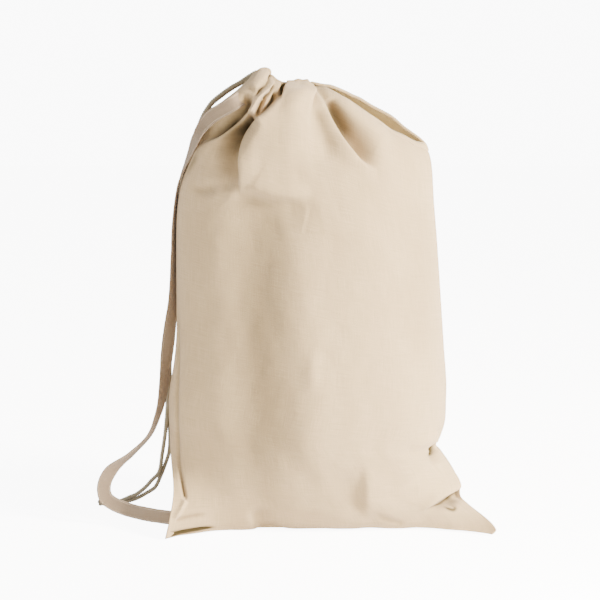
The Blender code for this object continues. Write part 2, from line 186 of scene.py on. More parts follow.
# (path, height, width at its start and its end, soft share of its start and its end)
GATHER_RIDGES = (
    # crest of the dome
    (((-18, 795), (-30, 740), (-42, 680), (-45, 630)), 13, 26, 60, 0.05, 0.35),
    # right of it: valley under the hem, hollow, crease at the hem
    (((37.2, 770), (48.3, 746.2), (62.2, 724.2), (78.8, 702.2), (98.3, 680.1), (120.5, 660.8)),
      -13, 16, 20, 0.08, 0.8),
    (((1, 763), (15, 739), (26, 711), (34, 684), (27, 655)), -9, 13, 19, 0.25, 0.4),
    (((6, 800), (9, 793), (13, 787)), -10, 3, 2.5, 0.05, 0.3),
    # hollow left of the dome
    (((-103, 736), (-122, 702), (-139, 673), (-147, 649), (-152, 629)), -10, 14, 26, 0.1, 0.3),
    # soft fold under the right part of the hem
    (((50, 770), (85, 746), (120, 719), (160, 694)), 6, 14, 20, 0.1, 0.4),
    # the thin ridge, sharp on top and broad below
    (THIN_RIDGE, 14, 4.5, 9, 0.03, 0.4),
    (THIN_RIDGE, 6, 14, 30, 0.05, 0.45),
    # valleys above and below the thin ridge
    (((-99.8, 777.4), (-107.3, 762.7), (-121.1, 749), (-138.1, 735.3), (-159.5, 718.4),
      (-174.4, 703.5), (-196, 675)), -20, 9, 12, 0.08, 0.4),
    (((-94, 744), (-106.2, 733.4), (-116.8, 725), (-132.8, 710.2), (-148.8, 689.1), (-160, 660)),
      -30, 12, 32, 0.05, 0.5),
    # folds and creases of the pinched cloth at the peak
    (((-72, 822), (-83, 805), (-98, 784)), 7, 9, 7, 0.1, 0.25),
    (((-58.7, 789.6), (-68.3, 772.8), (-76.8, 756.9), (-85.4, 743.2)), 6, 5, 4, 0.2, 0.3),
    (((-57.7, 813), (-65.2, 805.1), (-70.5, 797.7), (-74.8, 791.4), (-83.3, 785), (-88.7, 777.6),
      (-94, 770.2)), -10, 2.6, 2.6, 0.05, 0.3),
    (((-56.6, 796), (-60.9, 788.4), (-66.2, 779.9), (-74.7, 774.7), (-78.5, 769.4)),
      -9, 2.6, 3, 0.15, 0.1),
    (((-77.5, 772), (-82.1, 762.2), (-86.4, 752.7), (-90.7, 743.2)), -8, 4.6, 4, 0.15, 0.3),
    (((-57.1, 786.5), (-58.7, 770.6), (-65.1, 756.9), (-80.1, 741.1), (-90.7, 732.1)),
      -8, 4, 4, 0.2, 0.3),
    (((-36.5, 797.5), (-41.8, 789.2), (-44, 777.6), (-49.3, 769.2)), -10, 3, 3, 0.1, 0.3),
    (((-43, 800), (-50, 786), (-53, 774)), 3, 3.5, 3, 0.1, 0.3),
    # dent under the left shoulder
    (((-212, 619), (-185, 613), (-148, 622)), -6, 9, 10, 0.4, 0.4),
)
BODY_RIDGES = (
    # small swelling half way up
    (((14, 345), (7, 305), (11, 255)), 3, 12, 14, 0.3, 0.4),
    # faint pleat under the dome
    (((-1, 595), (-9, 557), (-18, 525)), 0.5, 3.5, 3.5, 0.3, 0.4),
    (((6, 595), (-1, 557), (-10, 525)), -0.5, 5, 5, 0.3, 0.4),
    # fullness of the right side, and a crease at the floor
    (((80, 640), (110, 520), (120, 380)), 4, 40, 60, 0.3, 0.4),
    (((110, 40), (140, 24), (175, 10)), -3, 6, 6, 0.4, 0.2),
)
CORNER_RIDGES = (
    # notch in the right side, the swelling over it and the hollow under it
    (((240, 146), (228, 145), (215, 142)), -14, 4.5, 3, 0.0, 0.4),
    (((236, 165), (205, 160), (180, 150)), 6, 14, 14, 0.1, 0.5),
    (((223.5, 141), (227, 130), (230, 113)), -8, 6.5, 10, 0.1, 0.6),
    # grooves along the left seam
    (((-233.5, 430), (-233.5, 266), (-233.5, 130), (-227, 90), (-219, 62)),
      -4, 3.5, 3.5, 0.3, 0.02),
    (((-230, 112), (-225, 87), (-217.5, 60)), -2.5, 2.6, 3, 0.6, 0.05),
    # left corner: fold, crease over it and open lip on the floor
    (((-218.5, 60), (-228.5, 43), (-238, 30)), 6, 4, 5, 0.1, 0.2),
    (((-236, 29), (-214, 32), (-179, 33)), -4, 3.2, 3.5, 0.1, 0.4),
    (((-249, 5), (-225.8, 7), (-199.4, 8.5), (-175.6, 9.2)), -3, 3.4, 2, 0.03, 0.25),
)
# (path, height of the upper side, depth of the lower side, reach of the one and of the other,
# sharpness, soft shares of its ends, overhang)
GATHER_CLIFFS = (
    (DOME_LEFT, 12, 15, 30, 34, 2.5, (0.3, 0.02), 5),
    (DOME_FOOT, 8, 12, 30, 50, 9, (0.35, 0.25), 0),
    (DOME_RIGHT, 10, 20, 26, 30, 2.5, (0.02, 0.28), 5),
    # cloth that comes out from under the strap
    (((-160, 606), (-135, 618), (-121, 640), (-118, 675)), 2, 6, 20, 30, 8, (0.3, 0.3), 0),
)
BODY_CLIFFS = (
    # broad fold down the body
    (((-45, 40), (-52, 200), (-60, 400), (-58, 620)), 13, 23, 100, 85, 65, (0.25, 0.15), 0),
    # crease on the lower right
    (((101, 20), (98, 75), (100, 140)), 3, 9, 30, 60, 6, (0.35, 0.5), 0),
)
CORNER_CLIFFS = (
    # pocket in the right corner
    (((276, 69), (252.6, 61.4), (230.5, 51.8), (201.7, 37)), 8, 13, 30, 12, 2.2, (0.0, 0.45), 3),
    # fold on the lower left
    (((-104, 50), (-98, 25), (-88, 0)), 4, 7, 45, 30, 8, (0.4, 0.0), 0),
)
# shade painted along paths, and light where the darkness is negative: (path, darkness, width at its
# start and its end, soft share of its start and its end)
GATHER_PAINTED_SHADING = (
    # painted shade in the slit at the hem and in the valley under the hem
    (((3.5, 799), (6.5, 794), (11, 788.5)), 1.2, 3.6, 2, 0.0, 0.3),
    (((43, 763), (56, 743), (71, 721), (87, 700)), 0.26, 14, 12, 0.25, 0.4),
    # light crest of the thin ridge and of the cloth under it
    (THIN_RIDGE, -0.4, 2.6, 3.4, 0.1, 0.25),
    (((-124, 700), (-130, 655), (-130, 612)), -0.16, 12, 16, 0.25, 0.25),
    # shaded middle and right side of the body
    (((-75, 580), (-78, 400), (-70, 250), (-60, 90)), 0.14, 55, 55, 0.25, 0.25),
    (((200, 620), (208, 450), (215, 280)), 0.1, 40, 40, 0.25, 0.25),
    # painted shade under the strap, above the thin ridge and beside the peak
    (((-123.7, 743), (-146.3, 721.4), (-167.5, 704.9), (-180.6, 691.1), (-194.9, 669.8),
      (-215.5, 636.9), (-228.9, 606.7)), 0.5, 8.5, 3.5, 0.15, 0.25),
    (((-101.2, 764), (-112, 744), (-133, 723.6), (-154, 708.4), (-172, 690.5)),
      0.32, 8, 8, 0.2, 0.3),
    (((-93, 727), (-111, 715), (-121, 699)), 0.08, 6, 8, 0.2, 0.4),
    (((-103, 774), (-83, 793), (-68, 810)), 0.16, 12, 8, 0.3, 0.3),
    # light on the dome
    (((-60, 715), (-40, 690), (-20, 660)), -0.1, 40, 40, 0.2, 0.2),
)
CORNER_PAINTED_SHADING = (
    # painted shade in the open lip of the left corner
    (((-254, 3), (-235, 5.2), (-215, 6.6), (-195, 7.6), (-175.6, 8.2), (-160, 8)),
      1.3, 4.8, 2.6, 0.03, 0.25),
    # painted shade in the notch in the right side
    (((240, 146), (228, 145), (216.5, 143)), 0.8, 2.2, 2, 0.0, 0.3),
    (((223.5, 143.5), (227, 131)), 0.75, 6, 8.5, 0.05, 0.6),
    # painted shade in the pocket in the right corner: edge, inside and lower lip
    (((276, 67.2), (252.6, 59.4), (230.5, 49.8), (201.7, 35.2)), 0.75, 3.6, 2.2, 0.0, 0.5),
    (((266, 60), (257, 44)), 0.42, 11, 8, 0.4, 0.05),
    (((240, 46.5), (259, 39), (268, 44)), 0.9, 2.2, 3.6, 0.4, 0.25),
    # light on the right corner
    (((190, 110), (220, 70), (290, 15)), -0.1, 60, 50, 0.1, 0.0),
)

# ---- strap and cord
AXIS_LEFT = Vector((-0.112, 0.0, 0.796))  # left end of the mouth's hinge line
AXIS_UP = Vector((0.292219, 0.0, 0.956352))
# where each flexible piece would start and stop bending with a moving body
STRAP_TOP_BEND = ((-0.238, 0.0, 0.600), (-0.243, 0.0, 0.540))
STRAP_BOTTOM_BEND = ((-0.250, -0.070, 0.022), (-0.300, -0.055, 0.060))
CORD_EXIT_BEND = (AXIS_LEFT, AXIS_LEFT + AXIS_UP * 0.025)
CORD_HANGING_BEND = ((-0.245, 0.03, 0.60), (-0.245, 0.03, 0.22))
CORD_END_BEND = ((-0.266, 0.08, 0.135), (-0.272, 0.08, 0.075))
STRAP_WIDTH = 0.0255
STRAP_THICKNESS = 0.0026
STRAP_STEP = 0.0036
SHOULDER_FROM_TO = (0.69, 0.78)  # heights between which the strap lies on the front's folds
STRAP_REACH = 0.012  # how far round the strap's middle the cloth under it is looked at
STITCH_ROW = 0.78  # place of the edge stitches across half the strap
STITCH_LIFT = 0.43  # share of the strap's thickness at which they lie
STRAP_STITCH_LENGTH = 0.0026
STRAP_THREAD = 0.00042
STRAP_SINKS = 4  # percent of that cloth that may lie in front of the strap
STRAP_EDGE_WAVES = ((0.016, 0.011), (0.012, 0.05))  # (share of the width, length) of its uneven edge
STRAP_CURL = (0.0006, 0.07)  # (height, length) of the curl of its edges
SHOULDER_SEED = 41
LOOP_SEED = 47
# (place across, thickness) from one edge of the strap to the other
STRAP_PROFILE = (
    (-1.0, 0.1), (-0.98, 0.75), (-0.9, 1.0), (-0.82, 0.95), (-0.78, 0.8), (-0.74, 0.9), (-0.5, 0.8),
    (0.0, 0.75), (0.5, 0.8), (0.74, 0.9), (0.78, 0.8), (0.82, 0.95), (0.9, 1.0), (0.98, 0.75),
    (1.0, 0.1),
)
# x, y and z of the strap's middle and of its width direction, down the strap
STRAP_SHOULDER = strap_path(
    (-84, -8, 790, 0.5, -0.35, -0.79), (-99, -26, 782, 0.5, -0.2, -0.84),
    (-123, -34.5, 766.5, 0.47, -0.15, -0.87), (-151, -38, 750, 0.46, -0.2, -0.87),
    (-169, -39, 738.5, 0.55, -0.35, -0.75), (-184, -37, 722, 0.55, -0.62, -0.55),
    (-195, -33, 703, 0.48, -0.82, -0.3), (-208, -26, 675, 0.35, -0.92, -0.15),
    (-219, -16, 648, 0.15, -0.98, -0.05), (-229, -6, 620, 0, -1, 0),
    (-235.2, 0, 590, -0.1, -0.99, 0), (-238.5, 0, 550, -0.2, -0.98, 0),
    (-240, 0, 510, -0.3, -0.95, 0),
)
STRAP_HANGING = strap_path(
    (-240, 0, 512, -0.3, -0.95, 0), (-240.5, 0, 470, -0.42, -0.9, 0),
    (-243, -2, 410, -0.58, -0.81, 0), (-252, -3, 330, -0.88, -0.47, 0),
    (-258.4, -4, 280, -0.7, -0.71, 0), (-263.5, -6, 235, -0.55, -0.83, 0),
    (-271, -8, 200, -0.42, -0.9, -0.05), (-288.5, -12, 159, -0.32, -0.94, 0.08),
    (-322, -20, 126, -0.37, -0.87, 0.29), (-340, -22, 112.5, -0.45, -0.75, 0.45),
    (-356, -24, 99, -0.68, -0.45, 0.5), (-366.5, -26, 82.5, -0.88, -0.25, 0.3),
    (-370.5, -28, 65, -0.97, -0.15, 0.05), (-367, -30, 49, -0.9, -0.15, -0.38),
    (-358, -32, 41, -0.65, -0.15, -0.72), (-343, -37, 34.5, -0.4, -0.15, -0.9),
    (-322, -47, 30, -0.15, -0.15, -0.97), (-290, -70, 29, 0, -0.15, -0.98),
    (-260, -90, 30, 0.05, -0.1, -0.99), (-240, -101, 31, 0.05, -0.1, -0.99),
)
CORD_RADIUS = 0.0041
CORD_RADIUS_IN_HEM = 0.0032  # the hem squeezes it
CORD_STEP = 0.0013
CORD_PITCH = 0.012  # length of one turn of its strands
STRAND_OFFSET = 0.42  # shares of the cord's radius
STRAND_RADIUS = 0.60
STRAND_SIDES = 8
CORD_ASIDE = (0.3, 0.9, 0.2)  # a direction that no cord starts in, to place the first strand by
CORD_PHASE = 1.3  # turn between the strands of the two tails
# centre lines of the two tails, from the hem down to the knot
CORD_EXIT_A = metres(
    (-70, 8, 812), (-90, 7, 814), (-104, 6, 807), (-119, 5, 797), (-133, 5, 789),
)
CORD_EXIT_B = metres(
    (-72, 13, 809), (-92, 12, 810), (-105, 11, 803), (-120, 10, 793.5), (-134, 10, 786),
)
CORD_HANGING_A = metres(
    (-132, 5, 789.7), (-146, 5, 780.5), (-169, 6, 762.5), (-180.5, 7, 747.5), (-189, 8, 732),
    (-199.5, 11, 704), (-211, 15, 670), (-220.5, 19, 640), (-227.5, 24, 615), (-233, 29, 585),
    (-238, 38, 500), (-245, 46, 400), (-255.3, 55, 314.5), (-259, 66, 227.7), (-262.1, 71, 181.1),
    (-265.8, 75, 144),
)
CORD_HANGING_B = metres(
    (-133, 10, 786.6), (-147, 10, 777), (-170, 11, 759), (-181, 13, 744), (-189, 14, 728),
    (-199, 17, 700), (-210, 21, 666), (-219, 26, 636), (-225.5, 31, 611), (-230, 37, 580),
    (-235, 45, 500), (-242, 53, 400), (-252.9, 60, 313.6), (-256.6, 71, 226.7), (-259.3, 76, 180),
    (-257.4, 80, 144),
)
CORD_END_A = metres(
    (-265.7, 74.9, 145), (-267.5, 76.2, 132), (-272.7, 80, 100.6), (-279.1, 84, 66.8),
    (-295, 87, 48.6), (-305.3, 89, 36.5), (-322.5, 90, 22.6), (-336.7, 90, 16.5), (-353.7, 89, 9.3),
    (-370.4, 86, 6.6), (-384, 83, 5.1),
)
CORD_END_B = metres(
    (-257.5, 79.8, 145), (-257.6, 80.3, 131.3), (-259.8, 83, 105.6), (-268.8, 86, 77.9),
    (-276.7, 88, 58), (-287.6, 92, 35.7), (-303, 94, 24.4), (-322, 94, 13.8), (-339, 93, 8.6),
    (-355.9, 92, 6.5), (-376.5, 89, 4.8),
)
CORD_EXITS = (CORD_EXIT_A, CORD_EXIT_B)
CORDS_HANGING = (CORD_HANGING_A, CORD_HANGING_B)
CORD_ENDS = (CORD_END_A, CORD_END_B)
KNOT_AT = (-0.3880, 0.0840, 0.0075)
KNOT_SIZE = 0.0050
KNOT_HEIGHT = 0.55  # share of its size
KNOT_CORD = 0.8  # share of the cord's radius left where the knot is pulled tight
STITCH_SIDES = 6
STITCH_RINGS = ((-0.5, 0.35), (-0.35, 0.85), (0.0, 1.0), (0.35, 0.85), (0.5, 0.35))

# ---- colours and shades
FOLD_SHADOW = (0.060, 0.044, 0.020)  # what little light leaves of the canvas deep in a fold
BASE_PAINTED_SHADE = 0.07  # painted shade on all the cloth away from its folds, so that crests can be painted lighter
VALLEY_SHADE = 0.27  # shade of a valley as deep as it is wide
CLIFF_SHADE_DEPTH = 54  # a fold this many mm over the cloth would hide it in full shade
BACK_SHADE_DEPTH = 0.060  # the same for the folds of the back, in metres
CANVAS_LIGHT = (0.70, 0.495, 0.262)
CANVAS_DARK = (0.62, 0.43, 0.216)
WEBBING_LIGHT = (0.34, 0.235, 0.145)
WEBBING_DARK = (0.29, 0.20, 0.12)
CORD_LIGHT = (0.40, 0.34, 0.23)
CORD_DARK = (0.33, 0.28, 0.185)
THREAD_LIGHT = (0.72, 0.60, 0.44)
THREAD_DARK = (0.60, 0.49, 0.34)


# ---- curves and noise
def hermite(knots, values, at):
    """Smooth curve through the values at uneven knots, for an array of places."""
    knots = np.asarray(knots, float)
    values = np.asarray(values, float)
    at = np.clip(np.asarray(at, float), knots[0], knots[-1])
    last = len(knots) - 1
    i = np.clip(np.searchsorted(knots, at, side="right") - 1, 0, last - 1)
    low = np.maximum(np.arange(last + 1) - 1, 0)
    high = np.minimum(np.arange(last + 1) + 1, last)
    spans = knots[high] - knots[low]
    span = knots[i + 1] - knots[i]
    f = (at - knots[i]) / span
    if values.ndim == 2:
        spans, f, span = spans[:, None], f[..., None], span[..., None]
    slopes = (values[high] - values[low]) / spans
    return (
        values[i] * (1 + 2 * f) * (1 - f) ** 2
        + slopes[i] * span * f * (1 - f) ** 2
        + values[i + 1] * f * f * (3 - 2 * f)
        - slopes[i + 1] * span * f * f * (1 - f)
    )


def profile(pairs, at):
    return hermite(*zip(*pairs), at)


def unit(vectors):
    return vectors / np.linalg.norm(vectors, axis=-1, keepdims=True)


def lengths_along(points):
    """Distance of each point of a path from its first one."""
    steps = np.linalg.norm(np.diff(points, axis=0), axis=1)
    return np.concatenate([[0.0], np.cumsum(steps)])


def along(points, share):
    """Points at these shares of a smooth path's length."""
    points = np.asarray(points, float)
    knots = lengths_along(points)
    return hermite(knots / knots[-1], points, share)


def straight_between(places, rows, at):
    """Rows at other places, read off straight lines between the known ones."""
    return np.stack([np.interp(at, places, rows[:, k]) for k in range(rows.shape[1])], axis=1)


def smoothstep(value):
    value = np.clip(value, 0.0, 1.0)
    return value * value * (3 - 2 * value)


def rise_from(start, up):
    """0 up to this share of the way up, easing to 1 at the hem."""
    return smoothstep((up - start) / (1 - start))


def waves(a, b, seed, scale, count=7):
    """Smooth repeatable noise between about -1 and 1 over a plane, features about this big."""
    rng = np.random.default_rng(seed)
    total = np.zeros(np.broadcast(a, b).shape)
    for _ in range(count):
        angle = rng.uniform(0, math.pi)
        stretch = rng.uniform(0.6, 1.6)
        phase = rng.uniform(0, 2 * math.pi)
        turn = (a * math.cos(angle) + b * math.sin(angle)) / (scale * stretch)
        total += np.sin(2 * math.pi * turn + phase)
    return total / math.sqrt(count * 2)


# ---- strokes that shape the cloth
def nearest(path, x, z):
    """Signed distance of each point to a path in the XZ plane, and its share along it.

    The distance is positive on the right of the path's direction.
    """
    path = np.asarray(path, float)
    steps = np.diff(path, axis=0)
    lengths = np.linalg.norm(steps, axis=1)
    total = lengths.sum()
    best = np.full(x.shape, np.inf)
    signed = np.zeros(x.shape)
    share = np.zeros(x.shape)
    done = 0.0
    for start, step, length in zip(path, steps, lengths):
        dx, dz = x - start[0], z - start[1]
        t = np.clip((dx * step[0] + dz * step[1]) / length**2, 0, 1)
        ex, ez = dx - t * step[0], dz - t * step[1]
        distance = np.hypot(ex, ez)
        side = np.sign(dx * step[1] - dz * step[0])
        closer = distance < best
        best = np.where(closer, distance, best)
        signed = np.where(closer, distance * np.where(side == 0, 1, side), signed)
        share = np.where(closer, (done + t * length) / total, share)
        done += length
    return signed, share


def fine_path(points):
    return along(points, np.linspace(0, 1, PATH_POINTS))


def taper(share, start, stop):
    """1 along a stroke's middle, easing to 0 over these shares of its ends; 0 keeps an end blunt."""
    from_start = smoothstep(share / start) if start else 1.0
    return from_start * (smoothstep((1 - share) / stop) if stop else 1.0)


def stroke(x, z, path, width, width_end, start, stop):
    """1 along a path, falling to 0 beside it and at its soft ends, and the width there."""
    signed, share = nearest(fine_path(path), x, z)
    wide = width + (width_end - width) * share
    return np.exp(-((signed / wide) ** 2)) * taper(share, start, stop), wide


def ridge(x, z, path, height, *shape):
    """A rounded fold along a path (a valley when the height is negative).

    Returns its height and its shade: little light gets into a deep narrow valley, and a crest
    stands out of the shade round it.
    """
    strength, wide = stroke(x, z, path, *shape)
    return height * strength, -VALLEY_SHADE * height * strength / wide


def cliff(x, z, path, high, low, spread, drop, edge, ends, overhang):
    """The edge of a fold that lies over the cloth on the path's left.

    The right side stands `high` proud and eases back over `spread`; the left side sinks
    by `low` and recovers over `drop`. Returns the height, the sideways shift of the lip
    and the shade under it.
    """
    path = fine_path(path)
    signed, share = nearest(path, x, z)
    over = 0.5 * (1 + np.tanh(signed / edge))
    lift = over * high * np.exp(-((signed / spread) ** 2))
    sink = (1 - over) * low * np.exp(-((signed / drop) ** 2))
    soft = taper(share, *ends)
    heading = unit(np.gradient(path, axis=0))
    places = np.linspace(0, 1, len(path))
    left_x = -np.interp(share, places, heading[:, 1])
    left_z = np.interp(share, places, heading[:, 0])
    lean = overhang * soft * over * np.exp(-((signed / LIP_REACH) ** 2))
    return (lift - sink) * soft, lean * left_x, lean * left_z, sink * soft / CLIFF_SHADE_DEPTH


def painted_shading(x, z, path, dark, *shape):
    """Shade painted along a path, such as where two layers of cloth part, or light painted where `dark`
    is negative.
    """
    return dark * stroke(x, z, path, *shape)[0]


def sculpt(x, z, ridges, cliffs, painted_shadings):
    """Height, sideways shifts and shade of the cloth from its folds, which are in millimetres."""
    x, z = x * 1000, z * 1000
    moves = np.zeros((4, *x.shape))
    for fold in ridges:
        rise, dark = ridge(x, z, *fold)
        moves[0] += rise
        moves[3] += dark
    for fold in cliffs:
        moves += np.stack(cliff(x, z, *fold))
    for shading_stroke in painted_shadings:
        moves[3] += painted_shading(x, z, *shading_stroke)
    moves[:3] /= 1000
    return moves


# ---- the bag's resting form
def section(across, up):
    """Share of the bag's depth at places across: 1 in the middle, 0 at the side seams."""
    full = smoothstep(up / FULL_FROM)
    square, thin = (a + (b - a) * full for a, b in zip(SECTION_AT_FLOOR, SECTION_FULL))
    return np.maximum(1 - np.abs(across) ** square, 0.0) ** thin


def ears_offset(across, up):
    left = EARS_FORWARD["left"] * np.abs(across) ** EARS_CURVE["left"]
    right = EARS_FORWARD["right"] * np.abs(across) ** EARS_CURVE["right"]
    return -np.where(across < 0, left, right) * (1 - smoothstep(up / EARS_FADE))


def depth_at(up):
    low = profile(DEPTH, np.minimum(up, NECK_START))
    t = np.clip((up - NECK_START) / (1 - NECK_START), 0, 1)
    return low * np.sqrt(np.maximum(1 - t**NECK_ROUNDNESS, 0))


def wall(side, across, up):
    """Points of a panel's wall on grids of places across and up."""
    left = along(LEFT_SEAM, up)
    right = along(RIGHT_SEAM, up)
    mix = ((across + 1) / 2)[..., None]
    flat = left * (1 - mix) + right * mix
    hem = FRONT_HEM if side < 0 else BACK_HEM
    hem_out = FRONT_HEM_OUT if side < 0 else BACK_HEM_OUT
    hem_at = hermite([h[0] for h in hem], [h[1:] for h in hem], across)
    seam_tops = LEFT_SEAM[-1] * (1 - mix) + RIGHT_SEAM[-1] * mix
    pull_x = rise_from(GATHER_START, up) ** GATHER_EASE
    pull_z = rise_from(NECK_START, up)
    x = flat[..., 0] + (hem_at[..., 0] - seam_tops[..., 0]) * pull_x
    z = flat[..., 1] + (hem_at[..., 1] - seam_tops[..., 1]) * pull_z
    out = depth_at(up) * section(across, up) + profile(hem_out, across) * rise_from(HEM_OUT_START, up)
    y = ears_offset(across, up) + side * out
    return np.stack([x, y, z], axis=-1)


def base(side, across, out):
    """Points of a panel's half of the base; out runs from 0 at the seam to 1 at the edge."""
    up = np.zeros_like(across)
    edge = wall(side, across, up)
    seam = edge.copy()
    seam[..., 1] = ears_offset(across, up)
    return seam + (edge - seam) * out[..., None]


def normals_of(points, side):
    du = np.gradient(points, axis=1)
    dv = np.gradient(points, axis=0)
    n = np.cross(du, dv)
    n /= np.maximum(np.linalg.norm(n, axis=-1, keepdims=True), 1e-12)
    return n if side < 0 else -n


# ---- folds of the cloth
def cloth_unevenness(across, up, seed):
    """Gentle waviness of handled canvas, in cloth coordinates."""
    u, v = across * PANEL_WIDTH / 2, up * PANEL_HEIGHT
    height = np.zeros_like(u)
    for k, (high, squeeze, size) in enumerate(UNEVENNESS):
        height += high * waves(u * squeeze, v, seed + k, size)
    return height * np.clip((1 - np.abs(across)) / UNEVEN_FADE, 0, 1)


def front_relief(x, z, across, up):
    """Height along the surface's normal, sideways shifts and painted shade of the front."""
    to_seam = 1 - np.abs(across)
    inner = sculpt(x, z, GATHER_RIDGES + BODY_RIDGES, GATHER_CLIFFS + BODY_CLIFFS, GATHER_PAINTED_SHADING)
    corners = sculpt(x, z, CORNER_RIDGES, CORNER_CLIFFS, CORNER_PAINTED_SHADING)
    moves = inner * smoothstep(to_seam / FOLDS_FADE) + corners * smoothstep(to_seam / CORNER_FOLDS_FADE)
    moves[0] += cloth_unevenness(across, up, FRONT_WAVES_SEED)
    return moves


def back_relief(x, z, across, up):
    """Folds that fan out from the gather over the back, with shade painted in them."""
    none = np.zeros_like(x)
    total = none.copy()
    rng = np.random.default_rng(BACK_SEED)
    for even in np.linspace(*BACK_SPREAD, BACK_FOLDS):
        at = even + rng.uniform(-0.04, 0.04)
        reach = rng.uniform(0.50, 0.78)
        strength = rng.uniform(0.5, 1.0)
        width = 0.035 + 0.05 * rng.random()
        bend = 0.05 * np.sin(6 * up + 5 * rng.random())
        fall = rise_from(reach, up)
        fade = fall * (1 - 0.45 * fall) * 1.5
        total += strength * fade * np.exp(-(((across - at - bend * (1 - fall)) / width) ** 2))
    depth = BACK_FOLD_DEPTH * total * smoothstep((1 - np.abs(across)) / FOLDS_FADE)
    height = cloth_unevenness(across, up, BACK_WAVES_SEED) - depth
    return np.stack([height, none, none, depth / BACK_SHADE_DEPTH])


def depth_below_hem(points):
    """Distance of each grid point under the hem, measured along the cloth."""
    return np.stack([lengths_along(column[::-1])[::-1] for column in points.swapaxes(0, 1)], axis=1)


def casing_relief(points):
    """The hem channel: a padded band under the edge, with the groove of its stitches."""
    below = depth_below_hem(points)
    inside = np.clip(below / CASING_BAND, 0, 1)
    deep, wide = CASING_GROOVE
    band = CASING_PUFF * np.sqrt(np.maximum(np.sin(math.pi * inside), 0))
    return band - deep * np.exp(-(((below - CASING_BAND) / wide) ** 2))


def below_hem(points, distance):
    """Points of each column at this distance under the hem."""
    below = depth_below_hem(points)[::-1]
    columns = range(points.shape[1])
    found = [straight_between(below[:, j], points[::-1, j], [distance]) for j in columns]
    return np.concatenate(found)


def inward(points, side):
    """Direction from the cloth into the bag along the hem, evened out over neighbouring columns."""
    n = -normals_of(points, side)[HEM_ROWS].mean(axis=0)
    padded = np.pad(n, ((HEM_EVEN, HEM_EVEN), (0, 0)), mode="edge")
    return unit(np.array([padded[j : j + 2 * HEM_EVEN + 1].mean(axis=0) for j in range(len(n))]))


def channel_depth(across):
    """Share of the hem channel's full depth; the channel is squeezed where the cloth is bunched."""
    start, over = CHANNEL_OPENS
    return SQUEEZED_CHANNEL + (1 - SQUEEZED_CHANNEL) * smoothstep((across - start) / over)


def channel_rows(points, side, across):
    """The hem's inner layer: over the edge and down to the casing stitches."""
    into = inward(points, side)
    room = channel_depth(across)[:, None]
    return np.stack([below_hem(points, low) + into * (depth * room) for low, depth in CHANNEL])


def panel_grid(side):
    """Places across, places up, points of a panel's wall with all its folds, and the shade painted on
    it.
    """
    across = -np.cos(np.linspace(0.0, math.pi, COLUMNS + 1))
    across = 0.5 * across + 0.5 * np.linspace(-1, 1, COLUMNS + 1)
    share = np.linspace(0, 1, WALL_ROWS + 1)
    up = share - ROWS_TO_ENDS * np.sin(2 * math.pi * share) / (2 * math.pi)
    s, t = np.meshgrid(across, up)
    points = wall(side, s, t)
    normal = normals_of(points, side)
    level_from, level_over = HEM_LEVEL
    normal[..., 2] *= 1 - smoothstep((t - level_from) / level_over)
    relief = front_relief if side < 0 else back_relief
    height, shift_x, shift_z, shade = relief(points[..., 0], points[..., 2], s, t)
    points = points + normal * height[..., None]
    points[..., 0] += shift_x
    points[..., 2] += shift_z
    points = points + normals_of(points, side) * casing_relief(points)[..., None]
    return s, t, points, np.clip(shade + BASE_PAINTED_SHADE, 0.0, 1.0)


def panel_points(side, grid):
    """The whole panel, from the seam under the bag to the hem's inner edge.

    Returns the points, their places on the flat cloth and their shade.
    """
    s, t, points, shade = grid
    across = s[0]
    out = np.linspace(0, 1, BASE_ROWS + 1)[:-1]
    under = base(side, *np.meshgrid(across, out))
    inner = channel_rows(points, side, across)
    turned = FLAT_HEIGHT + CHANNEL[:, 0]
    up = np.concatenate([(out - 1) * BASE_REACH, t[:, 0] * FLAT_HEIGHT, turned])
    uv = np.stack(np.meshgrid(across * PANEL_WIDTH / 2, up), axis=-1)
    hem_shade = np.repeat(shade[-1:], len(CHANNEL), axis=0)
    shades = np.concatenate([np.zeros(under.shape[:2]), shade, hem_shade])
    return np.concatenate([under, points, inner]), uv, shades


def run_in_channel(side, grid):
    """Centre line of the drawcord inside one half of the hem."""
    s, _, points, _ = grid
    across = s[0]
    line = below_hem(points, RUN_BELOW_HEM) + inward(points, side) * RUN_DEPTH
    bunched_to, ease = RUN_BUNCHED
    bunched = 1 - smoothstep((across - bunched_to) / ease)
    line[:, 1] += (side * RUN_SHIFT - line[:, 1]) * bunched
    line[:, 2] -= RUN_SHIFT * bunched
    first, last = RUN_SPAN
    used = np.flatnonzero((across > first) & (across < last))[::RUN_EVERY]
    return line[used]


def casing_stitches(name, side, grid):
    """A row of stitches along the bottom of the hem channel."""
    _, _, points, _ = grid
    row = below_hem(points, CASING_BAND)
    places = lengths_along(row)
    margin, ahead_by, proud = 0.006, 0.0008, 0.0003
    at = np.arange(margin, places[-1] - margin, CASING_STITCH)
    where = straight_between(places, row, at)
    heading = straight_between(places, row, at + ahead_by) - where
    normal = straight_between(places, -inward(points, side), at)
    size = (CASING_STITCH_LENGTH, CASING_THREAD)
    return stitch_object(name, where + normal * proud, heading, normal, *size)


# ---- meshes
def link(name, mesh):
    obj = bpy.data.objects.new(name, mesh)
    bpy.context.scene.collection.objects.link(obj)
    return obj


def dress(obj, material):
    obj.data.materials.append(material)
    return obj


def lay_flat(mesh, places):
    """Stores each face corner's place on the flat cloth, in metres, as UVs."""
    layer = mesh.uv_layers.new(name="cloth")
    layer.data.foreach_set("uv", np.asarray(places, np.float32).reshape(-1))


def grid_faces(rows, cols, flip):
    index = np.arange(rows * cols).reshape(rows, cols)
    corners = (index[:-1, :-1], index[:-1, 1:], index[1:, 1:], index[1:, :-1])
    quads = np.stack(corners, axis=-1).reshape(-1, 4)
    return quads[:, ::-1] if flip else quads


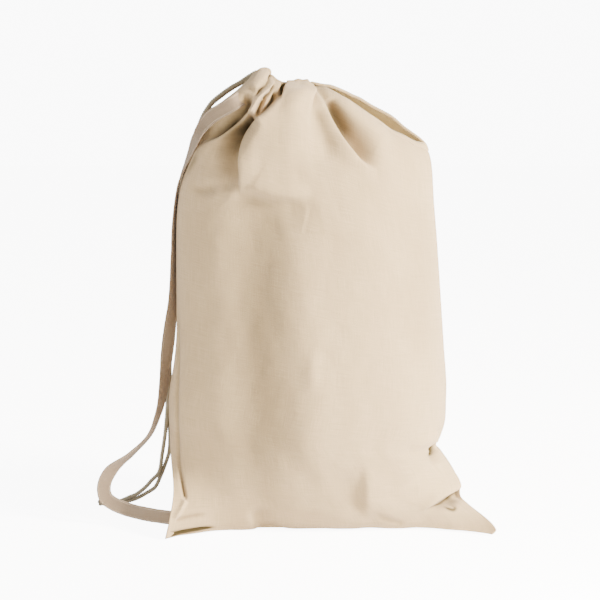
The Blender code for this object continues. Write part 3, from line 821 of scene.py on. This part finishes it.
def cloth_object(name, points, uv, shade, side):
    """A sheet of canvas from a grid of points, their places on the flat cloth and their shade."""
    quads = grid_faces(*points.shape[:2], side > 0)
    mesh = bpy.data.meshes.new(name)
    mesh.from_pydata(points.reshape(-1, 3).tolist(), [], quads.tolist())
    lay_flat(mesh, uv.reshape(-1, 2)[quads.reshape(-1)])
    # shade painted into the canvas colour by its material
    folds = mesh.attributes.new("fold_shade", "FLOAT", "POINT")
    folds.data.foreach_set("value", shade.astype(np.float32).reshape(-1))
    mesh.shade_smooth()
    obj = link(name, mesh)
    solid = obj.modifiers.new("thickness", "SOLIDIFY")
    solid.thickness = CANVAS_THICKNESS
    solid.offset = -1.0
    solid.use_rim = True
    return dress(obj, CANVAS)


def tube_object(name, tubes):
    """One object from closed tubes, each an array of rings, with capped ends."""
    points, faces, uvs = [], [], []
    first = 0
    for rings in tubes:
        n, m = rings.shape[:2]
        points.append(rings.reshape(-1, 3))
        around = lengths_along(np.append(rings[0], rings[0, :1], axis=0))
        length = lengths_along(rings.mean(axis=1))
        for i in range(n - 1):
            for k in range(m):
                corners = ((k, i), (k + 1, i), (k + 1, i + 1), (k, i + 1))
                faces.append([first + row * m + place % m for place, row in corners])
                uvs += [(around[place], length[row]) for place, row in corners]
        for cap in (range(m - 1, -1, -1), range((n - 1) * m, n * m)):
            faces.append([first + c for c in cap])
            uvs += [(0.0, 0.0)] * m
        first += n * m
    mesh = bpy.data.meshes.new(name)
    mesh.from_pydata(np.concatenate(points).tolist(), [], faces)
    lay_flat(mesh, uvs)
    mesh.shade_smooth()
    return link(name, mesh)


def circle(a, b, sides):
    """Points of a unit circle in the plane of two directions, or of two rows of directions."""
    turn = 2 * math.pi * np.arange(sides)[:, None] / sides
    return np.cos(turn) * a[..., None, :] + np.sin(turn) * b[..., None, :]


def stitch_object(name, places, directions, normals, length, radius):
    """Small rounded stitches of thread lying on a surface."""
    tubes = []
    for place, direction, normal in zip(places, unit(np.array(directions)), normals):
        across = unit(np.cross(normal, direction))
        ring = circle(across, np.cross(direction, across), STITCH_SIDES)
        steps = [direction * (at * length) + ring * (wide * radius) for at, wide in STITCH_RINGS]
        tubes.append(place + np.stack(steps))
    return dress(tube_object(name, tubes), THREAD)


# ---- strap
def strap_frame(path):
    """Even centre points, width directions, normals and headings along a strap path."""
    centres, widths = path
    knots = lengths_along(centres)
    at = np.linspace(0, knots[-1], int(knots[-1] / STRAP_STEP) + 1)
    c = hermite(knots, centres, at)
    t = unit(np.gradient(c, axis=0))
    w = hermite(knots, widths, at)
    w = unit(w - (w * t).sum(axis=1, keepdims=True) * t)
    return c, w, np.cross(t, w), t


def strap_rings(path, seed):
    """A folded web: thicker at the turned edges, a shallow groove under each row of stitches."""
    c, w, n, _ = strap_frame(path)
    across, thick = np.array(STRAP_PROFILE).T
    across = np.append(across, across[::-1])
    thick = np.append(thick, -thick[::-1]) * STRAP_THICKNESS / 2
    length = np.arange(len(c)) * STRAP_STEP
    level = np.zeros_like(length)
    (fine, fine_length), (broad, broad_length) = STRAP_EDGE_WAVES
    edge = 1 + fine * waves(length, level, seed, fine_length)
    edge += broad * waves(length, length, seed + 1, broad_length)
    high, long = STRAP_CURL
    curl = high * waves(length, level, seed + 2, long)
    offset = across * edge[:, None] * (STRAP_WIDTH / 2)
    height = thick + curl[:, None] * across**2
    return c[:, None] + w[:, None] * offset[..., None] + n[:, None] * height[..., None]


def strap_stitches(name, path):
    """A row of stitches along each edge of the strap, on both faces."""
    c, w, n, t = strap_frame(path)
    places, directions, normals = [], [], []
    for i in range(2, len(c) - 2):
        for edge in (-STITCH_ROW, STITCH_ROW):
            for face in (-1, 1):
                lift = n[i] * face * STRAP_THICKNESS * STITCH_LIFT
                places.append(c[i] + w[i] * edge * STRAP_WIDTH / 2 + lift)
                directions.append(t[i])
                normals.append(n[i] * face)
    return stitch_object(name, places, directions, normals, STRAP_STITCH_LENGTH, STRAP_THREAD)


def lay_on(cloth, path, low, high):
    """Moves the strap's points between these heights forward until they lie on the cloth."""
    laid, widths = path[0].copy(), path[1]
    for point in laid:
        if low < point[2] < high:
            away = np.abs(cloth[..., ::2] - point[::2]).max(axis=-1)
            near = cloth[..., 1][away < STRAP_REACH]
            point[1] = min(point[1], np.percentile(near, STRAP_SINKS) - STRAP_THICKNESS)
    return laid, widths


def build_strap(cloth):
    """The strap's length on the shoulder of the bag and its free length, each with its stitches."""
    on_shoulder = lay_on(cloth, STRAP_SHOULDER, *SHOULDER_FROM_TO)
    lengths = (
        ("shoulder", on_shoulder, SHOULDER_SEED, STRAP_TOP_BEND, "strap_upper", "strap_top_stitches"),
        ("loop", STRAP_HANGING, LOOP_SEED, STRAP_BOTTOM_BEND, "strap_loop", "strap_bottom_stitches"),
    )
    for word, path, seed, (start, end), web_node, thread_node in lengths:
        web = dress(tube_object(f"strap_{word}_web", [strap_rings(path, seed)]), WEBBING)
        thread = strap_stitches(f"strap_{word}_thread", path)
        for obj, node in ((web, web_node), (thread, thread_node)):
            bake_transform(obj)
            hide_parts(node)


# ---- drawcord
def cord_tube(path, radius, phase=0.0):
    """Three twisted strands swept along a path."""
    n = int(lengths_along(np.asarray(path))[-1] / CORD_STEP) + 1
    c = along(path, np.linspace(0, 1, n))
    t = unit(np.gradient(c, axis=0))
    normal = [unit(np.cross(t[0], CORD_ASIDE))]
    for ahead in t[1:]:
        normal.append(unit(normal[-1] - np.dot(normal[-1], ahead) * ahead))
    normal = np.array(normal)
    side = np.cross(t, normal)
    ring = circle(normal, side, STRAND_SIDES) * radius * STRAND_RADIUS
    tubes = []
    for strand in range(3):
        turn = phase + 2 * math.pi * (np.arange(n)[:, None] * CORD_STEP / CORD_PITCH + strand / 3)
        middle = c + (np.cos(turn) * normal + np.sin(turn) * side) * radius * STRAND_OFFSET
        tubes.append(middle[:, None] + ring)
    return tubes


def cord_object(name, paths, radius=CORD_RADIUS):
    tubes = []
    for k, path in enumerate(paths):
        tubes += cord_tube(path, radius, phase=CORD_PHASE * k)
    return dress(tube_object(name, tubes), CORD)


def knot_tubes():
    """An overhand knot: a short loop of cord wound on itself."""
    turn = np.linspace(0, 2 * math.pi, 40)[:-1]
    a = KNOT_SIZE * (np.sin(turn) + 2 * np.sin(2 * turn)) / 3
    b = KNOT_SIZE * (np.cos(turn) - 2 * np.cos(2 * turn)) / 3
    h = -KNOT_SIZE * KNOT_HEIGHT * np.sin(3 * turn)
    return cord_tube(np.stack([a, b, h], axis=-1) + KNOT_AT, CORD_RADIUS * KNOT_CORD)


def build_cords():
    """The two tails in three lengths, and the knot at their ends."""
    lengths = (
        ("cord_exit", CORD_EXITS, "bag", "back_mouth", CORD_EXIT_BEND, "shoulder"),
        ("cord_hanging", CORDS_HANGING, "bag", "cord_tails", CORD_HANGING_BEND, "middle"),
        ("cord_floor_ends", CORD_ENDS, "cord_tails", "cord_ends", CORD_END_BEND, "end"),
    )
    for name, paths, above, below, (start, end), word in lengths:
        cord = cord_object(name, paths)
        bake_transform(cord)
        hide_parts(f"cord_tail_a_{word}", f"cord_tail_b_{word}")
    knot = dress(tube_object("cord_end_knot", knot_tubes()), CORD)
    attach(knot, "cord_ends")
    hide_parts("cord_knot")


# ---- materials
class Nodes:
    """Short ways to add shader nodes to one material."""

    def __init__(self, name):
        self.material = bpy.data.materials.new(name)
        self.material.use_nodes = True
        self.tree = self.material.node_tree
        self.shader = self.tree.nodes["Principled BSDF"]

    def set(self, node, values):
        for key, value in values.items():
            if isinstance(value, bpy.types.NodeSocket):
                self.tree.links.new(value, node.inputs[key])
            else:
                node.inputs[key].default_value = value

    def surface(self, values):
        """The material, with these inputs of its shader set or linked."""
        self.set(self.shader, values)
        return self.material

    def add(self, kind, output, values, **settings):
        """An output of a new node, with these inputs set or linked."""
        node = self.tree.nodes.new(f"ShaderNode{kind}")
        for key, value in settings.items():
            setattr(node, key, value)
        self.set(node, values)
        return node.outputs[output]

    def math(self, kind, a, b=0.0):
        return self.add("Math", 0, {0: a, 1: b}, operation=kind)

    def stretched(self, across, along_it):
        """Cloth coordinates scaled differently across and along the cloth."""
        place = self.add("UVMap", 0, {}, uv_map="cloth")
        return self.add("Mapping", 0, {"Vector": place, "Scale": (across, along_it, 1.0)})

    def noise(self, across, along_it, detail=3.0):
        """Noise with about this many features per metre across and along the cloth."""
        place = self.stretched(across, along_it)
        values = {"Vector": place, "Scale": 1.0, "Detail": detail, "Roughness": 0.55}
        return self.add("TexNoise", "Fac", values)

    def ramp(self, value, low, high):
        return self.add("MapRange", "Result", {"Value": value, "From Min": low, "From Max": high})

    def mix(self, share, a, b):
        a, b = ((*colour, 1) if isinstance(colour, tuple) else colour for colour in (a, b))
        return self.add("Mix", "Result", {"Factor": share, "A": a, "B": b}, data_type="RGBA")

    def bump(self, height, distance, over=None):
        """Relief this deep, laid over another relief where one is given."""
        values = {"Height": height, "Distance": distance, "Strength": 1.0}
        if over is not None:
            values["Normal"] = over
        return self.add("Bump", "Normal", values)


def plain_weave(nodes, pitch):
    """Height of a plain weave: each thread passes over one and under the next."""
    place = nodes.tree.nodes.new("ShaderNodeSeparateXYZ")
    nodes.set(place, {0: nodes.stretched(math.pi / pitch, math.pi / pitch)})
    warp = nodes.math("SINE", place.outputs[0])
    weft = nodes.math("SINE", place.outputs[1])
    crossing = nodes.math("MULTIPLY", warp, weft)
    ridges = nodes.math("ADD", nodes.math("ABSOLUTE", warp), nodes.math("ABSOLUTE", weft))
    return nodes.math("ADD", nodes.math("MULTIPLY", crossing, 0.5), nodes.math("MULTIPLY", ridges, 0.5))


def darker(colour, share):
    return tuple(share * c for c in colour)


def woven_material(name, light, dark, pitch, relief):
    """Unbleached cotton cloth: uneven threads, slubs, seed flecks, patches of uneven tone, and shade
    painted into its folds.
    """
    nodes = Nodes(name)
    patches = nodes.noise(14.0, 9.0, detail=4.0)
    slubs = nodes.math("ADD", nodes.noise(700.0, 22.0), nodes.noise(22.0, 700.0))
    tone = nodes.mix(nodes.ramp(patches, 0.3, 0.7), light, dark)
    streaks = nodes.mix(nodes.ramp(slubs, 0.75, 1.25), tone, darker(dark, 0.86))
    flecks = nodes.ramp(nodes.noise(420.0, 420.0, detail=1.0), 0.735, 0.80)
    unshaded_colour = nodes.mix(flecks, streaks, darker(dark, 0.45))
    # painted shade: the fold_shade attribute darkens the colour towards FOLD_SHADOW and dulls sheen and
    # gloss
    shade = nodes.add("Attribute", "Fac", {}, attribute_name="fold_shade")
    lit = nodes.math("SUBTRACT", 1.0, shade)
    threads = nodes.bump(slubs, relief * 1.6)
    return nodes.surface({
        "Base Color": nodes.mix(shade, unshaded_colour, FOLD_SHADOW),
        "Roughness": nodes.math("ADD", nodes.math("MULTIPLY", patches, 0.15), 0.82),
        "Specular IOR Level": nodes.math("MULTIPLY", lit, 0.5),
        "Sheen Weight": nodes.math("MULTIPLY", lit, 0.25),
        "Sheen Roughness": 0.6,
        "Normal": nodes.bump(plain_weave(nodes, pitch), relief, over=threads),
    })


def cord_material():
    """Twisted cotton: fine fibres that run along each strand."""
    nodes = Nodes("cotton_cord")
    fibres = nodes.noise(3000.0, 180.0, detail=2.0)
    tone = nodes.mix(nodes.ramp(nodes.noise(40.0, 30.0), 0.3, 0.7), CORD_LIGHT, CORD_DARK)
    return nodes.surface({
        "Base Color": nodes.mix(nodes.ramp(fibres, 0.35, 0.75), tone, darker(CORD_DARK, 0.75)),
        "Roughness": 0.88,
        "Sheen Weight": 0.3,
        "Normal": nodes.bump(fibres, 0.0002),
    })


def thread_material():
    nodes = Nodes("sewing_thread")
    twist = nodes.noise(2500.0, 900.0, detail=1.0)
    return nodes.surface({
        "Base Color": nodes.mix(twist, THREAD_LIGHT, THREAD_DARK),
        "Roughness": 0.7,
        "Normal": nodes.bump(twist, 0.0001),
    })


# ---- assembly
def build_panel(side, word, grid, *other_nodes):
    """One panel with its hem, the stitches of the hem and the length of drawcord inside it."""
    cloth = cloth_object(f"{word}_cloth", *panel_points(side, grid), side)
    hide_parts(f"{word}_panel", f"{word}_neck", f"{word}_casing", *other_nodes)
    stitches = casing_stitches(f"{word}_casing_thread", side, grid)
    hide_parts(f"{word}_casing_stitches")
    run = cord_object(f"cord_in_{word}_hem", [run_in_channel(side, grid)], CORD_RADIUS_IN_HEM)
    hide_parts(f"drawcord_{word}_run")
    for obj in (cloth, stitches, run):
        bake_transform(obj)


CANVAS = woven_material("natural_canvas", CANVAS_LIGHT, CANVAS_DARK, pitch=0.0009, relief=0.00022)
WEBBING = woven_material("strap_canvas", WEBBING_LIGHT, WEBBING_DARK, pitch=0.0011, relief=0.00025)
CORD = cord_material()
THREAD = thread_material()
FRONT_GRID = panel_grid(-1)
BACK_GRID = panel_grid(1)
build_panel(-1, "front", FRONT_GRID, "left_side_seam", "right_side_seam", "bottom_seam")
build_panel(1, "back", BACK_GRID)
build_strap(FRONT_GRID[2])
build_cords()


# ---- studio
FLOOR_SIZE = 8.0
FLOOR_DROP = -0.0025
FLOOR_COLOUR = (0.86, 0.85, 0.84, 1)
FLOOR_GLOW = 9.0
SKY_COLOUR = (1.0, 0.985, 0.965, 1)
AMBIENT = 0.80
BACKDROP_GLOW = 10.0
CAMERA_ELEVATION = math.radians(9)
CAMERA_DISTANCE = 3.18
CAMERA_TARGET = Vector((-0.0144, 0.0, 0.407))
CAMERA_LENS = 106
WHITE = (1, 1, 1)
# (name, place, target, size, power, colour)
LIGHTS = (
    ("key", (2.7, -1.25, 1.9), (0.0, 0.0, 0.42), (0.7, 0.7), 485, (1.0, 0.94, 0.83)),
    ("fill", (-2.6, -1.6, 1.2), (0.0, 0.0, 0.42), (1.6, 1.6), 47, WHITE),
    ("low", (0.62, -0.72, 0.15), (0.27, -0.06, 0.03), (0.3, 0.3), 9.0, WHITE),
)
MOUTH_LIGHT = (
    "through_cloth", (0.10, 0.0, 0.66), (0.12, 0.02, 0.80), (0.16, 0.04), 0.20, (1.0, 0.93, 0.62),
)


def look_along(obj, direction):
    obj.rotation_euler = direction.to_track_quat("-Z", "Y").to_euler()


def area_light(name, place, target, size, power, colour):
    data = bpy.data.lights.new(name, "AREA")
    data.shape = "RECTANGLE"
    data.size, data.size_y = size
    data.energy = power
    data.color = colour
    lamp = link(name, data)
    lamp.location = place
    look_along(lamp, Vector(target) - Vector(place))
    return lamp


def camera_only_white(tree, output, surface, kind, strength):
    """Starts a mix that shows white paper to the camera only; returns the glow and the mix."""
    path = tree.nodes.new("ShaderNodeLightPath")
    glow = tree.nodes.new(kind)
    glow.inputs["Color"].default_value = (*WHITE, 1)
    glow.inputs["Strength"].default_value = strength
    mix = tree.nodes.new("ShaderNodeMixShader")
    tree.links.new(path.outputs["Is Camera Ray"], mix.inputs[0])
    tree.links.new(surface, mix.inputs[1])
    tree.links.new(mix.outputs[0], tree.nodes[output].inputs["Surface"])
    return glow.outputs[0], mix.inputs[2]


def build_floor():
    mesh = bpy.data.meshes.new("studio_floor")
    work = bmesh.new()
    bmesh.ops.create_grid(work, x_segments=1, y_segments=1, size=FLOOR_SIZE)
    work.to_mesh(mesh)
    work.free()
    nodes = Nodes("studio_floor")
    mesh.materials.append(nodes.surface({"Base Color": FLOOR_COLOUR, "Roughness": 0.8}))
    paper = nodes.shader.outputs[0]
    white = (paper, "ShaderNodeEmission", FLOOR_GLOW)
    glow, seen = camera_only_white(nodes.tree, "Material Output", *white)
    nodes.tree.links.new(nodes.add("AddShader", 0, {0: paper, 1: glow}), seen)
    floor = link("studio_floor", mesh)
    floor.location.z = FLOOR_DROP


def build_world():
    world = bpy.data.worlds.new("studio")
    world.use_nodes = True
    tree = world.node_tree
    sky = tree.nodes["Background"]
    sky.inputs["Color"].default_value = SKY_COLOUR
    sky.inputs["Strength"].default_value = AMBIENT
    white = (sky.outputs[0], "ShaderNodeBackground", BACKDROP_GLOW)
    glow, seen = camera_only_white(tree, "World Output", *white)
    tree.links.new(glow, seen)
    bpy.context.scene.world = world


def build_studio():
    """Floor, backdrop and lamps; the lamp in the mouth stands in for light through the cloth."""
    build_floor()
    build_world()
    for light in LIGHTS:
        area_light(*light)
    area_light(*MOUTH_LIGHT).visible_camera = False


def build_camera():
    data = bpy.data.cameras.new("camera")
    data.lens = CAMERA_LENS
    camera = link("camera", data)
    back_off = Vector((0, -math.cos(CAMERA_ELEVATION), math.sin(CAMERA_ELEVATION)))
    camera.location = CAMERA_TARGET + back_off * CAMERA_DISTANCE
    look_along(camera, -back_off)
    bpy.context.scene.camera = camera


build_studio()
build_camera()
